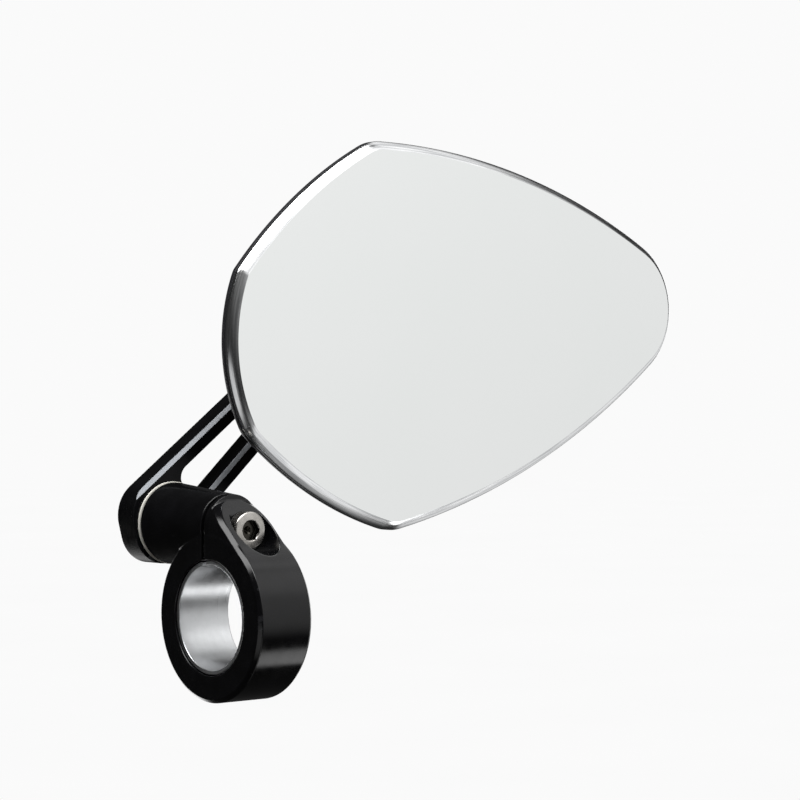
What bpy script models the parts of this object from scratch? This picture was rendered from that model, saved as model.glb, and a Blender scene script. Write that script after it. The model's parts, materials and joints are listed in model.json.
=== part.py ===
"""Bar-end mirror for a bicycle or small motorcycle handlebar.

Frame: X runs outboard along the bar, Y forward (away from the rider), Z up. The origin is on the
bar's axis, in the clamp ring's grip-side face. Lengths below are in millimetres.
"""

import math

import bmesh
import bpy
from mathutils import Vector

MM = 0.001

# Clamp ring round the bar end, and the thin split sleeve inside it (for a 22.2 mm bar).
RING_WIDTH = 14.0
RING_R = 18.0
RING_BORE_R = 12.2
SLEEVE_R = 12.05
BAR_R = 11.15
MID_X = 6.95
RING_PROFILE = [(RING_BORE_R, 0.0), (17.2, 0.0), (RING_R, 0.8), (RING_R, 12.7), (17.8, 13.4),
                (17.3, RING_WIDTH), (RING_BORE_R, RING_WIDTH)]

# Clamp screw: it crosses the ring's slit above the bore, in a round pocket on the rider's side. The pocket
# is a little further outboard than the screw.
SCREW_Z = 18.4
POCKET_X = 7.55
POCKET_R = 5.0
POCKET_FLOOR_Y = -2.8
SLIT_Y = (1.6, 2.6)
SCREW_SHANK_R = 2.45
SCREW_HOLE_R = 2.65
CLAMP_HOLE_END_Y = 10.5

# Nose of the ring over the screw: side view (y, z) of its sloping, rounded front.
NOSE_PROFILE = [(-11.4, 13.8), (0.2, 24.4), (1.2, 25.2), (2.6, 25.9), (5.0, 26.4), (5.0, 11.0),
                (-4.0, 11.0)]
NOSE_R = 6.82

# Pivot boss: a cone that widens forward from the ring to the arm's eye.
BOSS_START_Y = 0.5
BOSS_START_R = 6.86
BOSS_RIM_Y = 22.5
BOSS_RIM_R = 8.9
PIVOT_Z = 19.0
EYE = (MID_X, PIVOT_Z)

# Arm: a flat plate milled into two struts.
ARM_FRONT_Y = 23.1
ARM_BACK_Y = 29.1
EYE_BORE_R = 3.95
EYE_RECESS_R = 5.6
EYE_RECESS_Y = 25.6
UPPER_ANGLE = 37.6
LOWER_ANGLE = 43.0
UPPER_EDGES = (10.7, 7.35)
LOWER_EDGES = (-2.0, -5.2)
CHAMFER = 0.9
STUD_HOLE_R = 2.15

# Ball joint behind the mirror head.
BALL = (53.5, 14.8, 61.5)
BALL_R = 4.5
LINER_R = (4.62, 6.0)
SOCKET_R = 6.15
SOCKET_OUTER_R = 9.6
RETAINER_ANGLES = (30, 150, 270)
RETAINER_CIRCLE_R = 7.7

# Mirror head outline in the XZ plane: five bowed sides (centre x, centre z, radius) and the radius of
# the corner that follows each side.
HEAD_SIDES = [((50.3, 58.6), 40.6), ((102.4, 2.4), 114.8), ((55.1, -78.3), 183.1), ((18.3, 213.3), 200.9),
              ((80.1, 108.9), 95.9)]
HEAD_CORNERS = [4.6, 10.8, 17.4, 11.8, 8.6]
FACE_Y = 5.0
BEVEL = [(2.0, 5.0), (1.35, 5.3), (0.75, 5.75), (0.3, 6.2), (0.0, 6.6), (0.0, 7.2)]
SHELL_FRONT_Y = 7.3
PAD_INSET = 5.0
PIN_POINTS = [(30.0, 70.0), (104.0, 68.0)]
SHELL_EDGE = [(4.6, 7.8), (4.6, SHELL_FRONT_Y), (0.15, SHELL_FRONT_Y), (0.0, 7.45), (0.0, 8.5), (0.5, 8.9)]
SHELL_DOME = [(0.93, 9.4), (0.78, 9.9), (0.55, 10.3), (0.3, 10.6)]


def material(name, colour, metallic, roughness):
    made = bpy.data.materials.new(name)
    made.use_nodes = True
    shader = made.node_tree.nodes["Principled BSDF"]
    shader.inputs["Base Color"].default_value = (*colour, 1.0)
    shader.inputs["Metallic"].default_value = metallic
    shader.inputs["Roughness"].default_value = roughness
    made.diffuse_color = (*colour, 1.0)
    return made


def add_object(name, bm, mat, origin=(0.0, 0.0, 0.0), smooth=True):
    """Makes the object of a bmesh built in world millimetres, with its own origin at the given point."""
    bmesh.ops.remove_doubles(bm, verts=bm.verts, dist=1e-5)
    bmesh.ops.recalc_face_normals(bm, faces=bm.faces)
    for vert in bm.verts:
        vert.co = (vert.co - Vector(origin)) * MM
    mesh = bpy.data.meshes.new(name)
    bm.to_mesh(mesh)
    bm.free()
    obj = bpy.data.objects.new(name, mesh)
    obj.location = Vector(origin) * MM
    bpy.context.scene.collection.objects.link(obj)
    if mat:
        mesh.materials.append(mat)
    if smooth:
        mesh.shade_smooth()
        mesh.set_sharp_from_angle(angle=math.radians(30))
    return obj


def loft(name, rings, mat=None, origin=(0.0, 0.0, 0.0)):
    """Closed solid through rings with equal numbers of points, capped at both ends."""
    bm = bmesh.new()
    loops = [[bm.verts.new(point) for point in ring] for ring in rings]
    count = len(loops[0])
    for low, high in zip(loops, loops[1:]):
        for i in range(count):
            j = (i + 1) % count
            bm.faces.new((low[i], low[j], high[j], high[i]))
    bm.faces.new(loops[0])
    bm.faces.new(loops[-1])
    return add_object(name, bm, mat, origin)


def lathe(name, profile, centre, axis, mat=None, segments=48, origin=None):
    """Turns a profile of (radius, distance along the axis) about X or Y through the centre point.

    A profile that starts and ends on the axis is a solid of revolution; any other one is a closed ring.
    """
    cx, cy, cz = centre
    bm = bmesh.new()
    rings = []
    for radius, along in profile:
        if radius < 1e-6:
            point = (cx + along, cy, cz) if axis == "X" else (cx, cy + along, cz)
            rings.append([bm.verts.new(point)])
            continue
        ring = []
        for i in range(segments):
            turn = 2 * math.pi * i / segments
            a = radius * math.cos(turn)
            b = radius * math.sin(turn)
            point = (cx + along, cy + a, cz + b) if axis == "X" else (cx + a, cy + along, cz + b)
            ring.append(bm.verts.new(point))
        rings.append(ring)
    closed = len(rings[0]) > 1 and len(rings[-1]) > 1
    pairs = list(zip(rings, rings[1:])) + ([(rings[-1], rings[0])] if closed else [])
    for low, high in pairs:
        for i in range(segments):
            j = (i + 1) % segments
            if len(low) == 1 and len(high) == 1:
                continue
            if len(low) == 1:
                bm.faces.new((low[0], high[j], high[i]))
            elif len(high) == 1:
                bm.faces.new((low[i], low[j], high[0]))
            else:
                bm.faces.new((low[i], low[j], high[j], high[i]))
    return add_object(name, bm, mat, origin or centre)


def rod(name, x, z, radius, y0, y1, segments=28, mat=None, origin=None):
    """Plain cylinder along Y."""
    profile = [(0, y0), (radius, y0), (radius, y1), (0, y1)]
    return lathe(name, profile, (x, 0.0, z), "Y", mat, segments, origin)


def washer(name, x, z, inner, outer, y0, y1, mat, origin, segments=32):
    profile = [(inner, y0), (outer, y0), (outer, y1), (inner, y1)]
    return lathe(name, profile, (x, 0.0, z), "Y", mat, segments, origin)


def box(name, low, high, mat=None):
    corners = [(low[0], low[2]), (high[0], low[2]), (high[0], high[2]), (low[0], high[2])]
    rings = [[(x, y, z) for x, z in corners] for y in (low[1], high[1])]
    return loft(name, rings, mat)


def hexagon(name, x, z, across_flats, y0, y1):
    radius = across_flats / math.sqrt(3)
    corners = [(x + radius * math.cos(math.radians(60 * i)), z + radius * math.sin(math.radians(60 * i)))
               for i in range(6)]
    return loft(name, [[(cx, y, cz) for cx, cz in corners] for y in (y0, y1)])


def combine(obj, helper, operation="DIFFERENCE"):
    """Boolean with a helper that stays out of the render."""
    helper.hide_render = True
    helper.display_type = "WIRE"
    modifier = obj.modifiers.new(helper.name, "BOOLEAN")
    modifier.operation = operation
    modifier.solver = "EXACT"
    modifier.object = helper


def sphere_arc(radius, start, end, steps):
    """(radius, along) points on a sphere about the origin, between two distances along the axis."""
    first = math.asin(max(-1.0, start / radius))
    last = math.asin(min(1.0, end / radius))
    points = []
    for i in range(steps + 1):
        angle = first + (last - first) * i / steps
        points.append((max(radius * math.cos(angle), 0.0), radius * math.sin(angle)))
    return points


def socket_screw(name, centre, head_r, head_l, shank_r, end, flats, mat, direction=1, origin=None,
                 segments=32):
    """Cap screw along Y. The centre is on the head's outer face, and the shank runs towards direction."""
    cx, cy, cz = centre
    edge = 0.12 * head_r
    length = (end - cy) * direction
    profile = [(0, 0), (head_r - edge, 0), (head_r, edge), (head_r, head_l), (shank_r, head_l),
               (shank_r, length - 0.4), (shank_r - 0.4, length), (0, length)]
    profile = [(radius, along * direction) for radius, along in profile]
    screw = lathe(name, profile, centre, "Y", mat, segments, origin)
    depth = 0.6 * head_l
    mouth = flats / math.sqrt(3)
    combine(screw, hexagon("cut_hex_" + name, cx, cz, flats, cy - direction * 0.5, cy + direction * depth))
    lead = [(0, -0.4 * direction), (mouth + 0.5, -0.4 * direction), (mouth - 0.25, 0.35 * direction),
            (0, 0.35 * direction)]
    combine(screw, lathe("cut_lead_" + name, lead, centre, "Y", None, 24))
    return screw


def line(angle, offset):
    """Line in the XZ plane at an angle to X, this far above the eye's centre: (point, direction)."""
    turn = math.radians(angle)
    along = Vector((math.cos(turn), math.sin(turn)))
    up = Vector((-math.sin(turn), math.cos(turn)))
    return Vector(EYE) + up * offset, along


def meet(first, second):
    """Crossing point of two lines."""
    p, d = first
    q, e = second
    cross = d.x * e.y - d.y * e.x
    gap = q - p
    return p + d * ((gap.x * e.y - gap.y * e.x) / cross)


def rounded(corners, steps=6):
    """Closed outline through (x, z, radius) corners, each rounded by an arc."""
    outline = []
    count = len(corners)
    for i in range(count):
        here = Vector(corners[i][:2])
        radius = corners[i][2]
        back = (Vector(corners[i - 1][:2]) - here).normalized()
        ahead = (Vector(corners[(i + 1) % count][:2]) - here).normalized()
        half = back.angle(ahead) / 2
        centre = here + (back + ahead).normalized() * (radius / math.sin(half))
        reach = radius / math.tan(half)
        outline += arc(centre, here + back * reach, here + ahead * reach, steps)
    return outline


def arc(centre, start, end, steps):
    """Points on the shorter way round a centre, from start to end, both included."""
    first = Vector(start) - Vector(centre)
    last = Vector(end) - Vector(centre)
    radius = first.length
    begin = math.atan2(first.y, first.x)
    sweep = (math.atan2(last.y, last.x) - begin + math.pi) % (2 * math.pi) - math.pi
    points = []
    for k in range(steps + 1):
        angle = begin + sweep * k / steps
        points.append((centre[0] + radius * math.cos(angle), centre[1] + radius * math.sin(angle)))
    return points


def head_outline(inset, side_steps=8, corner_steps=7):
    """Outline of the mirror head, drawn in evenly by the inset: side arcs and tangent corner arcs in turn."""
    sides = [(Vector(centre), radius - inset) for centre, radius in HEAD_SIDES]
    corners = []
    for i, radius in enumerate(HEAD_CORNERS):
        radius = max(radius - inset, 1.0)
        (a, reach_a), (b, reach_b) = sides[i], sides[(i + 1) % len(sides)]
        reach_a -= radius
        reach_b -= radius
        span = (b - a).length
        ahead = (b - a) / span
        across = Vector((-ahead.y, ahead.x))
        foot = (span ** 2 + reach_a ** 2 - reach_b ** 2) / (2 * span)
        rise = math.sqrt(reach_a ** 2 - foot ** 2)
        corners.append((a + ahead * foot - across * rise, radius))
    outline = []
    for i, (centre, radius) in enumerate(sides):
        before, after = corners[i - 1], corners[i]
        start = centre + (before[0] - centre).normalized() * radius
        end = centre + (after[0] - centre).normalized() * radius
        outline += arc(centre, start, end, side_steps)
        turn_end = after[0] + (after[0] - sides[(i + 1) % len(sides)][0]).normalized() * after[1]
        outline += arc(after[0], end, turn_end, corner_steps)[1:-1]
    return outline


def at_depth(outline, y):
    return [(x, y, z) for x, z in outline]


def disc(x, z, radius, y, segments=64):
    angles = [2 * math.pi * i / segments for i in range(segments)]
    return [(x + radius * math.cos(a), y, z + radius * math.sin(a)) for a in angles]


def plate_with_window(name, outline, window, y0, y1, mat, origin):
    """Flat plate between two depths, with one window right through it."""
    bm = bmesh.new()
    edges = {}
    for y in (y0, y1):
        edges[y] = []
        for loop in (outline, window):
            verts = [bm.verts.new((x, y, z)) for x, z in loop]
            edges[y].append(verts)
        border = [bm.edges.new((verts[i - 1], verts[i])) for verts in edges[y] for i in range(len(verts))]
        bmesh.ops.triangle_fill(bm, use_beauty=True, use_dissolve=False, edges=border)
    for low, high in zip(edges[y0], edges[y1]):
        for i in range(len(low)):
            bm.faces.new((low[i - 1], low[i], high[i], high[i - 1]))
    return add_object(name, bm, mat, origin)


for old in list(bpy.data.objects):
    bpy.data.objects.remove(old, do_unlink=True)

BLACK = material("black_anodised", (0.012, 0.012, 0.014), 0.6, 0.28)
STEEL = material("stainless_steel", (0.62, 0.6, 0.57), 1.0, 0.3)
BRIGHT = material("bright_aluminium", (0.82, 0.84, 0.83), 1.0, 0.08)
POLYMER = material("bearing_polymer", (0.75, 0.73, 0.68), 0.0, 0.5)
SLEEVE = material("clear_anodised", (0.7, 0.71, 0.72), 1.0, 0.35)
BONDING = material("bonding_pad", (0.06, 0.06, 0.06), 0.0, 0.7)
BRONZE = material("bronze", (0.6, 0.42, 0.2), 1.0, 0.35)

PIVOT = (MID_X, ARM_FRONT_Y, PIVOT_Z)

# Clamp ring with its nose and pivot boss in one body.
clamp = lathe("clamp_body", RING_PROFILE, (0, 0, 0), "X", BLACK, 96)
nose_top = arc((MID_X, PIVOT_Z), (MID_X + NOSE_R, PIVOT_Z), (MID_X, PIVOT_Z + NOSE_R), 16)
nose_top += arc((MID_X, PIVOT_Z), (MID_X, PIVOT_Z + NOSE_R), (MID_X - NOSE_R, PIVOT_Z), 16)[1:]
nose_front = nose_top + [(MID_X - NOSE_R, 11.0), (MID_X + NOSE_R, 11.0)]
nose = loft("add_nose", [at_depth(nose_front, y) for y in (-14.0, 4.0)])
nose_side = loft("keep_nose_side", [[(x, y, z) for y, z in NOSE_PROFILE] for x in (-1.0, RING_WIDTH + 1)])
combine(nose, nose_side, "INTERSECT")
combine(clamp, nose, "UNION")
boss = loft("add_boss", [disc(MID_X, PIVOT_Z, BOSS_START_R, BOSS_START_Y),
                         disc(MID_X, PIVOT_Z, BOSS_RIM_R, BOSS_RIM_Y - 0.35),
                         disc(MID_X, PIVOT_Z, BOSS_RIM_R - 0.35, BOSS_RIM_Y)])
combine(clamp, boss, "UNION")
bore = [(0, -2), (RING_BORE_R, -2), (RING_BORE_R, 16), (0, 16)]
combine(clamp, lathe("cut_bore", bore, (0, 0, 0), "X", None, 96))
combine(clamp, rod("cut_pocket", POCKET_X, SCREW_Z, POCKET_R, -30, POCKET_FLOOR_Y, 64))
combine(clamp, rod("cut_clamp_hole", MID_X, SCREW_Z, SCREW_HOLE_R, -4, CLAMP_HOLE_END_Y))
combine(clamp, rod("cut_pivot_hole", MID_X, PIVOT_Z, SCREW_HOLE_R, 11.6, 26))
combine(clamp, box("cut_slit", (-4, SLIT_Y[0], 9.0), (18, SLIT_Y[1], 28.0)))

sleeve_wall = [(BAR_R, 0.4), (SLEEVE_R, 0.4), (SLEEVE_R, RING_WIDTH - 0.4), (BAR_R, RING_WIDTH - 0.4)]
sleeve = lathe("bar_sleeve", sleeve_wall, (0, 0, 0), "X", SLEEVE, 96)
combine(sleeve, box("cut_sleeve_slit", (-4, 1.3, 8.0), (18, 2.9, 14.0)))

# Clamp screw in its pocket.
socket_screw("clamp_screw", (MID_X, -5.9, SCREW_Z), 4.0, 2.45, SCREW_SHANK_R, 10.0, 4.0, STEEL)
washer("clamp_washer", MID_X, SCREW_Z, 2.7, 4.0, -3.4, -2.85, STEEL, None)

# Pivot stack: friction washer, bearing bush, thrust washer, disc spring and the pivot screw from behind.
washer("friction_washer", MID_X, PIVOT_Z, 2.75, 9.05, 22.57, 23.03, POLYMER, None, 64)
washer("pivot_bush", MID_X, PIVOT_Z, 2.75, EYE_BORE_R - 0.1, 23.15, EYE_RECESS_Y - 0.1, BRONZE, PIVOT)
washer("thrust_washer", MID_X, PIVOT_Z, 2.75, 5.3, 25.7, 26.2, STEEL, None)
spring = [(2.75, 26.6), (5.2, 26.25), (5.2, 26.65), (2.75, 27.0)]
lathe("disc_spring", spring, (MID_X, 0, PIVOT_Z), "Y", STEEL, 40)
socket_screw("pivot_screw", (MID_X, 29.9, PIVOT_Z), 4.6, 2.8, SCREW_SHANK_R, 12.2, 4.0, STEEL, -1)

# Arm: outline and window from the struts' edge lines, then bores and the chamfer along each strut.
upper_out = line(UPPER_ANGLE, UPPER_EDGES[0])
upper_in = line(UPPER_ANGLE, UPPER_EDGES[1])
lower_in = line(LOWER_ANGLE, LOWER_EDGES[0])
lower_out = line(LOWER_ANGLE, LOWER_EDGES[1])
slant = ((UPPER_ANGLE + LOWER_ANGLE) / 2)
tip_along = Vector((math.cos(math.radians(slant)), math.sin(math.radians(slant))))
hub = Vector((BALL[0], BALL[2]))
tip = (hub + tip_along * 6.0, Vector((-tip_along.y, tip_along.x)))
neck = (hub - tip_along * 7.5, tip[1])
eye_left = (Vector((-0.8, 10.1)), Vector((-3.7, 14.2)))
window_left = (Vector((9.6, 0)), Vector((0, 1)))
window_low = (Vector((9.6, 27.8)), Vector((0.861, -0.509)))
arm_outline = rounded([
    (*meet(eye_left, upper_out), 8.0),
    (-0.8, 10.1, 7.6),
    (15.8, 10.1, 7.0),
    (*meet((Vector((15.8, 0)), Vector((0, 1))), lower_out), 3.0),
    (*meet(lower_out, tip), 5.0),
    (*meet(tip, upper_out), 5.0),
])
arm_window = rounded([
    (*meet(window_left, upper_in), 3.2),
    (9.6, 27.8, 1.4),
    (*meet(window_low, lower_in), 2.0),
    (*meet(lower_in, neck), 1.8),
    (*meet(neck, upper_in), 1.8),
], 5)
arm = plate_with_window("arm", arm_outline, arm_window, ARM_FRONT_Y, ARM_BACK_Y, BLACK, PIVOT)
for label, edge, start, end in (("upper", upper_out, -12.0, 60.0), ("lower", lower_in, 9.5, 58.0)):
    point, along = edge
    up = Vector((-along.y, along.x))
    rings = []
    for reach in (start, end):
        foot = point + along * reach
        ring = []
        for across, deep in ((CHAMFER, 0), (0, CHAMFER), (-CHAMFER, 0), (0, -CHAMFER)):
            spot = foot + up * across
            ring.append((spot.x, ARM_FRONT_Y + deep, spot.y))
        rings.append(ring)
    combine(arm, loft("cut_chamfer_" + label, rings))
combine(arm, rod("cut_eye_bore", MID_X, PIVOT_Z, EYE_BORE_R, 20, 32, 40))
combine(arm, rod("cut_eye_recess", MID_X, PIVOT_Z, EYE_RECESS_R, EYE_RECESS_Y, 32, 48))
combine(arm, rod("cut_stud_hole", hub.x, hub.y, STUD_HOLE_R, 20, 32))

# Ball stud, held to the arm by a nut.
stud = [(x, y + BALL[1]) for x, y in sphere_arc(BALL_R, -4.35, 4.08, 12)]
stud = [(0, stud[0][1])] + stud + [(1.9, 21.8), (3.6, 22.3), (3.6, 23.0)]
stud += [(2.0, 23.0), (2.0, 32.4), (1.6, 32.8), (0, 32.8)]
lathe("ball_stud", stud, (hub.x, 0, hub.y), "Y", STEEL, 40, BALL)
washer("stud_washer", hub.x, hub.y, 2.15, 4.1, 29.2, 29.8, STEEL, BALL)
nut = loft("stud_nut", [disc(hub.x, hub.y, 4.04, y, 6) for y in (29.9, 32.2)], STEEL, BALL)
combine(nut, rod("cut_nut_bore", hub.x, hub.y, 2.15, 28, 34))

# Liner halves: spherical inside and outside, parted at the ball's equator.
inner, outer = LINER_R
front = sphere_arc(outer, -outer, -0.15, 7) + sphere_arc(inner, -inner, -0.15, 7)[::-1]
lathe("liner_front", front, BALL, "Y", POLYMER, 36)
rear = sphere_arc(outer, 0.15, 3.3, 4) + sphere_arc(inner, 0.15, 3.3, 4)[::-1]
lathe("liner_rear", rear, BALL, "Y", POLYMER, 36)

# Mirror head: black shell with the socket, retaining ring, bonded bright plate.
rings = [at_depth(head_outline(inset), y) for inset, y in SHELL_EDGE]
last = head_outline(SHELL_EDGE[-1][0])
for scale, y in SHELL_DOME:
    rings.append([(hub.x + (x - hub.x) * scale, y, hub.y + (z - hub.y) * scale) for x, z in last])
shell = loft("head_shell", rings, BLACK, BALL)
combine(shell, rod("add_socket", hub.x, hub.y, SOCKET_OUTER_R, 9.0, 14.9, 48), "UNION")
ball_room = sphere_arc(SOCKET_R, -SOCKET_R, SOCKET_R, 14)
combine(shell, lathe("cut_socket", ball_room, BALL, "Y", None, 36))
ring_profile = sphere_arc(SOCKET_R, 0.3, 3.4, 4)
ring_profile += [(5.0, 3.8), (9.0, 3.8), (SOCKET_OUTER_R, 3.2), (SOCKET_OUTER_R, 0.3)]
retainer = lathe("retainer_ring", ring_profile, BALL, "Y", BLACK, 48)
for number, angle in enumerate(RETAINER_ANGLES, 1):
    x = hub.x + RETAINER_CIRCLE_R * math.cos(math.radians(angle))
    z = hub.y + RETAINER_CIRCLE_R * math.sin(math.radians(angle))
    combine(shell, rod(f"cut_thread_{number}", x, z, 0.85, 11.2, 16, 20))
    combine(retainer, rod(f"cut_clearance_{number}", x, z, 0.95, 14, 20, 20))
    combine(retainer, rod(f"cut_head_{number}", x, z, 1.5, 17.4, 20, 24))
    socket_screw(f"retainer_screw_{number}", (x, 18.5, z), 1.35, 1.0, 0.75, 11.6, 1.3, STEEL, -1, BALL, 24)

# Radial screw that sets the ball joint's friction.
grub_hole = lathe("cut_grub_hole", [(0, 5.5), (1.3, 5.5), (1.3, 12), (0, 12)], (0, 0, 0), "X", None, 24)
grub_hole.rotation_euler = (0, -math.pi / 2, 0)
grub_hole.location = Vector((hub.x, 12.8, hub.y)) * MM
combine(shell, grub_hole)
grub_profile = [(0, 6.0), (0.7, 6.0), (1.15, 6.4), (1.15, 9.2), (0, 9.2)]
grub = lathe("tension_screw", grub_profile, (0, 0, 0), "X", STEEL, 24)
grub.rotation_euler = (0, -math.pi / 2, 0)
grub.location = Vector((hub.x, 12.8, hub.y)) * MM
grub_key = hexagon("cut_grub_key", 0, 0, 1.3, 0, 1.6)
grub_key.rotation_euler = (math.pi / 2, 0, 0)
grub_key.location = Vector((hub.x, 12.8, hub.y + 7.9)) * MM
combine(grub, grub_key)
ball_centre = bpy.data.objects.new("ball_centre", None)
ball_centre.location = Vector(BALL) * MM
bpy.context.scene.collection.objects.link(ball_centre)
grub.parent = ball_centre
grub.location -= Vector(BALL) * MM

plate = loft("mirror_plate", [at_depth(head_outline(inset), y) for inset, y in BEVEL], BRIGHT, BALL)
pad = loft("adhesive_pad", [at_depth(head_outline(PAD_INSET), y) for y in (7.25, 7.75)], BONDING, BALL)
for number, (x, z) in enumerate(PIN_POINTS, 1):
    combine(plate, rod(f"cut_plate_pin_{number}", x, z, 1.1, 6.0, 8.0, 20))
    combine(pad, rod(f"cut_pad_pin_{number}", x, z, 1.4, 6.0, 9.0, 20))
    combine(shell, rod(f"cut_shell_pin_{number}", x, z, 1.1, 6.0, 9.0, 20))
    rod(f"locating_pin_{number}", x, z, 0.98, 6.1, 8.9, 20, STEEL, BALL)
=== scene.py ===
"""Looks of the bar-end mirror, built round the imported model.

Shapes are worked out in millimetres and made in metres. Milled and threaded pieces are skins of signed
distance fields, so that their edges and fillets are real. Turned pieces are lathed, and the mirror head is
lofted from its own outline. X runs outboard along the bar, Y forward from the rider, Z up.
"""

import json
import math

import bmesh
import bpy
import numpy as np
from mathutils import Matrix, Vector


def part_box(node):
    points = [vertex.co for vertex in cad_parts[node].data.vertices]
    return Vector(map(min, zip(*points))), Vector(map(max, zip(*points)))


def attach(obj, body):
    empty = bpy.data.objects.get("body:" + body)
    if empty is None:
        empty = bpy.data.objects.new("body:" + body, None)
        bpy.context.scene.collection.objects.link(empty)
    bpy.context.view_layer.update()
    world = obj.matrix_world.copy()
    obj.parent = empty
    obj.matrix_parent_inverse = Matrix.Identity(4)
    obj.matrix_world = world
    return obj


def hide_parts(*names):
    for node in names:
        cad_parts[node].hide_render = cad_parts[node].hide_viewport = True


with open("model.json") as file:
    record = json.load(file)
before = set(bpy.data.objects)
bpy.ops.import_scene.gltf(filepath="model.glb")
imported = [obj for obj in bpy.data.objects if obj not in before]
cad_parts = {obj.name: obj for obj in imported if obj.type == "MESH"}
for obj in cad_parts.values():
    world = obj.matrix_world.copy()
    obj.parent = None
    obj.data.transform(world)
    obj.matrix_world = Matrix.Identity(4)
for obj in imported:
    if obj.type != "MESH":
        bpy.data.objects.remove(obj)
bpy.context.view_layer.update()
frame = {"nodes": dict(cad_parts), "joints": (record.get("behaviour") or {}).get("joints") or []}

MM = 0.001


def node_box(node):
    """Lowest and highest corner of a CAD node, in millimetres."""
    low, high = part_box(node)
    return low / MM, high / MM


def joint_point(name):
    found = [joint for joint in frame["joints"] if joint["name"] == name]
    return Vector(found[0]["pos_m"]) / MM


# Places and sizes that the frame gives.
CLAMP_LOW, CLAMP_HIGH = node_box("clamp_body")
ARM_LOW, ARM_HIGH = node_box("arm")
SLEEVE_LOW, SLEEVE_HIGH = node_box("bar_sleeve")
PLATE_LOW, PLATE_HIGH = node_box("mirror_plate")
SCREW_LOW, SCREW_HIGH = node_box("clamp_screw")
CLAMP_SCREW = (SCREW_LOW + SCREW_HIGH) / 2
PIVOT = joint_point("arm_swing")
BALL = joint_point("head_tilt")

EDGE = 0.18  # usual radius of an edge

# Clamp: ring, nose over the screw (side view as y and z), and pivot boss (y and radius at each end).
RING_WIDTH = 14.0
RING_R = -CLAMP_LOW.z
RING_BORE_R = 12.2
RING_CHAMFER = 0.8
RING_BREAK = (0.6, 0.2)
RING_BREAK_SLOPE = (0.64, 0.768)
NOSE_R = 6.82
NOSE_CHAMFER = 0.9
NOSE_PROFILE = [(-11.4, 13.8), (0.2, 24.4), (1.2, 25.2), (2.6, 25.9), (5.0, 26.4), (5.0, 11.0), (-4.0, 11.0)]
BOSS_START = (0.5, 6.86)
BOSS_RIM = (CLAMP_HIGH.y, 8.9)
BOSS_LIP = 0.35
BOSS_CHAMFER = 0.4
POCKET_X = 7.55
POCKET_R = 5.0
POCKET_FLOOR_Y = -2.8
HOLE_R = 2.65
SCREW_HOLE_END_Y = 10.5
PIVOT_HOLE_START_Y = 11.6
SLIT = (1.6, 2.6)
SLIT_END_Z = 9.0
SLEEVE_R = (11.15, 12.05)
SLEEVE_SLIT = (1.3, 2.9)
SLEEVE_SLIT_END_Z = 8.0

# Cap screws: head, shank, pitch, key across its flats, and the dome of the head's face.
CAP_HEAD_R = 4.0
CAP_HEAD_L = 2.45
PIVOT_HEAD_R = 4.6
PIVOT_HEAD_L = 2.8
M5_R = 2.45
M5_PITCH = 0.8
M5_KEY = 4.0
SMALL_HEAD_R = 1.35
SMALL_HEAD_L = 1.0
SMALL_R = 0.75
SMALL_PITCH = 0.35
SMALL_KEY = 1.3
DOME = 0.075
WASHER_BORE_R = 2.75

# Arm: two struts between an eye and a hub, in a flat plate. Edge lines are offsets from the eye's centre.
UPPER_ANGLE = 37.6
LOWER_ANGLE = 43.0
UPPER_EDGES = (10.7, 7.35)
LOWER_EDGES = (-2.0, -5.2)
EYE_LEFT = ((-0.8, 10.1), (-3.7, 14.2))
EYE_RIGHT_X = 15.8
WINDOW_LEFT_X = 9.6
WINDOW_FOOT_Z = 27.8
WINDOW_FOOT_WAY = (0.861, -0.509)
HUB_TIP = 6.0
HUB_NECK = 7.5
CHAMFER = 0.9
CHAMFERED = ((-12.0, 60.0), (9.5, 58.0))
EYE_BORE_R = 3.95
EYE_RECESS_R = 5.6
EYE_RECESS_Y = 25.6
STUD_HOLE_R = 2.15

DISC_SPRING = [(WASHER_BORE_R, 26.6), (5.2, 26.25), (5.2, 26.65), (WASHER_BORE_R, 27.0)]  # radius and y

# Ball joint: the stud's radii and the y that each stretch covers.
BALL_R = 4.5
BALL_FLAT = 4.35
NECK_R = 1.9
NECK_Y = (16.4, 22.4)
FLANGE_R = 3.6
FLANGE_Y = (22.3, 23.0)
STUD_R = 2.0
STUD_Y = (21.8, 32.8)
STUD_PITCH = 0.7
STUD_THREAD_Y = 25.0
LINER_R = (4.62, 6.0)
LINER_HALVES = (("front", -6.0, -0.15), ("rear", 0.15, 3.3))
SOCKET_R = 6.15
SOCKET_OUTER_R = 9.6
SOCKET_END_Y = 14.9
RETAINER_ANGLES = (30, 150, 270)
RETAINER_CIRCLE_R = 7.7
RETAINER_CHAMFER = 0.7
SINK_R = 1.5
SINK_FLOOR_Y = 17.4

# Mirror head: five bowed sides (centre x, centre z, radius) and the corner radius after each side.
HEAD_SIDES = [((50.3, 58.6), 40.6), ((102.4, 2.4), 114.8), ((55.1, -78.3), 183.1), ((18.3, 213.3), 200.9),
              ((80.1, 108.9), 95.9)]
HEAD_CORNERS = [4.6, 10.8, 17.4, 11.8, 8.6]
BEVEL_WIDTH = 2.0
BEVEL_DEPTH = 1.6
BEVEL_TILT = (24.0, 53.0)
BEVEL_LIP = 0.22

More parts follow.
